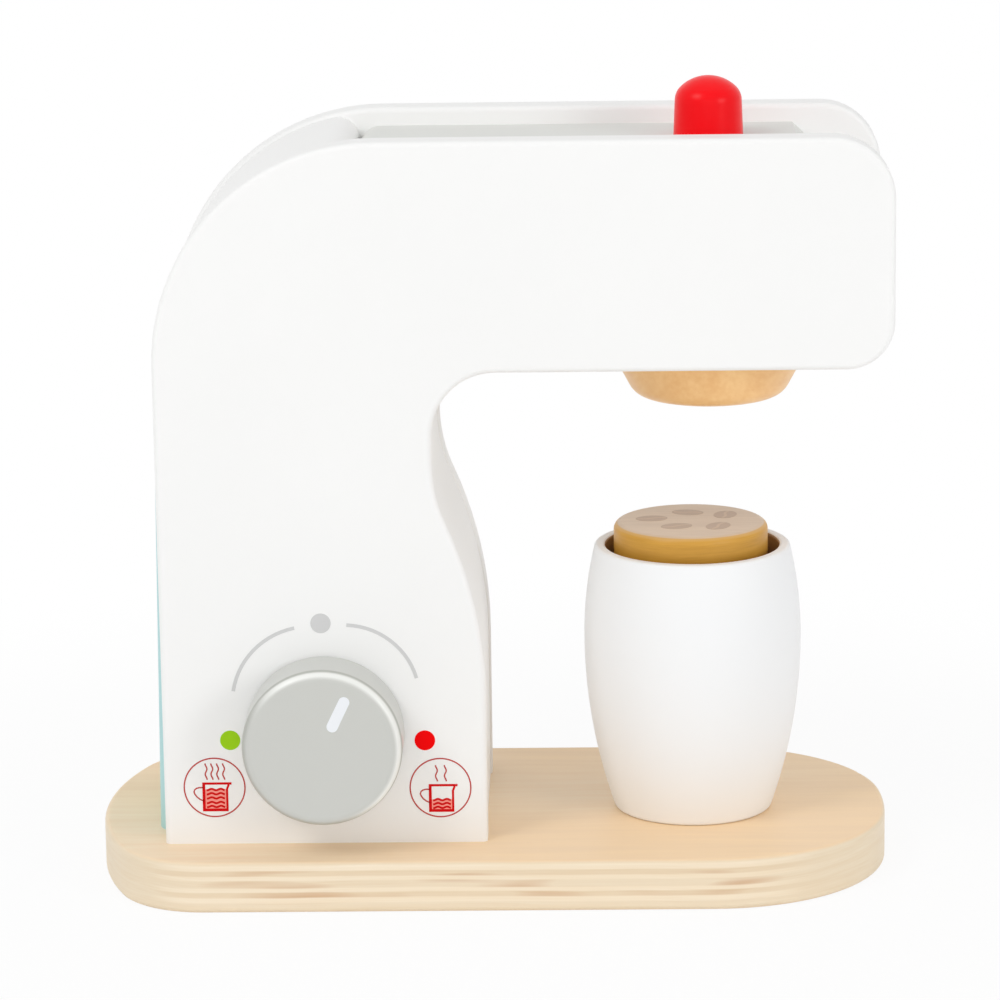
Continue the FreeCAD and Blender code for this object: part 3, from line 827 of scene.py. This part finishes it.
def jug_lines(sign):
    """The jug's walls, bottom and rim, and its waves, each a little off the sign's own sizes."""
    shape = bmesh.new()
    (left, right), rim, bottom = sign["walls"], sign["rim"], sign["bottom"]
    top, foot = rim - BRIM / 2, bottom + 0.5
    flat_stroke(shape, [(left + 0.1, top), (left + 0.1, foot)], SIDE)
    flat_stroke(shape, [(right + 0.4, top), (right - 0.08, rim - 1.6), (right - 0.08, foot)], SPOUT)
    flat_stroke(shape, [(left - 0.3, bottom + 0.1), (right + 0.22, bottom + 0.1)], SIDE)
    flat_stroke(shape, [(left - 0.3, rim), (right + 1.2, rim)], BRIM)
    for level in sign["waves"]:
        ends = (left + 0.85, level), (right - 0.72, level)
        flat_stroke(shape, wiggle(*ends, swings=2, sway=0.2, phase=0.45), WAVE)
    return shape


def drink_fill(sign):
    """The pale drink, from the bottom to just over the highest wave."""
    shape = bmesh.new()
    left, right = sign["walls"]
    middle = (left + right) / 2
    flat_stroke(shape, [(middle, sign["bottom"]), (middle, sign["waves"][0] + 0.1)], right - left)
    return shape


for name, sign in SIGNS.items():
    place = on_panel(*sign["place"])
    lay_print(name + "_fine_lines", fine_lines(sign), fine_ink, "machine", place)
    lay_print(name + "_sign", jug_lines(sign), jug_ink, "machine", place)
    lay_print(name + "_drink", drink_fill(sign), pale_ink, "machine", place, thickness=INK / 2)

# %% [markdown]
# ## The knob's pointer
#
# The pointer is printed on the knob, so it has to ride on the knob's body. A round-ended bar is a
# circle whose upper half is pushed up and then turned to its place.

# %% The knob's pointer
white_print = paint("white_print", colour(240, 243, 247), 0.5, gloss=0.1)
POINTER_FOOT = Vector((3.0, 6.56))  # from the knob's centre
POINTER_TIP = Vector((6.3, 13.4))
POINTER_WIDTH = 3.1

pointer = bmesh.new()
flat_circle(pointer, 0, 0, POINTER_WIDTH / 2, segments=32)
reach = POINTER_TIP - POINTER_FOOT
upper = [vert for vert in pointer.verts if vert.co.z > 0]
bmesh.ops.translate(pointer, vec=(0, 0, reach.length * MM), verts=upper)
lean = reach.angle_signed(Vector((0, 1)))
foot = (KNOB_CENTRE.x + POINTER_FOOT.x * MM, KNOB[0].y, KNOB_CENTRE.z + POINTER_FOOT.y * MM)
place = Matrix.Translation(foot) @ Matrix.Rotation(-lean, 4, "Y")
lay_print("pointer", pointer, white_print, "dial", place)

# %% [markdown]
# ## Beans on the coffee disc
#
# The top of the disc carries a few faint coffee beans. A bean is a circle pressed to an oval, with
# a slit along it in the tone of the disc. They are drawn upright as the other prints are, and the
# last transform lays the whole drawing down on the disc. The slits are a little thicker than the
# beans, so that they lie on them.

# %% Beans on the coffee disc
bean_print = paint("bean_print", colour(196, 174, 155), 0.5, gloss=0.3)
slit_print = paint("slit_print", colour(209, 187, 165), 0.5, gloss=0.3)
BEAN_LENGTH, BEAN_WIDTH, SLIT_WIDTH = 9.0, 6.4, 0.8
SLIT_REACH = 0.9  # of the bean's length
BEANS = (  # place from the middle of the disc in millimetres, lean in degrees
    (-10.9, 2.6, 8), (-0.6, 9.6, -12), (9.9, 6.6, 75), (-4.1, -6.8, 16), (7.5, -6.9, 62),
)

disc_low, disc_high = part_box("coffee_disc")
disc_middle = (disc_low + disc_high) / 2
disc_top = Matrix.Translation((disc_middle.x, disc_middle.y, disc_high.z)) @ Matrix.Rotation(-pi / 2, 4, "X")
oval = Matrix.Diagonal((BEAN_LENGTH * MM / 2, 1, BEAN_WIDTH * MM / 2, 1)) @ Matrix.Rotation(pi / 2, 4, "X")
beans, slits = bmesh.new(), bmesh.new()
for x, z, lean in BEANS:
    circle = bmesh.ops.create_circle(beans, cap_ends=True, segments=32, radius=1)
    turned = Matrix.Translation(Vector((x, 0, z)) * MM) @ Matrix.Rotation(-radians(lean), 4, "Y")
    bmesh.ops.transform(beans, matrix=turned @ oval, verts=circle["verts"])
    middle = Vector((x, z))
    half = Vector((cos(radians(lean)), sin(radians(lean)))) * BEAN_LENGTH / 2 * SLIT_REACH
    flat_stroke(slits, wiggle(middle - half, middle + half, swings=1, sway=0.45, phase=0.25), SLIT_WIDTH)
lay_print("beans", beans, bean_print, "machine", disc_top)
lay_print("bean_slits", slits, slit_print, "machine", disc_top, thickness=1.4 * INK)
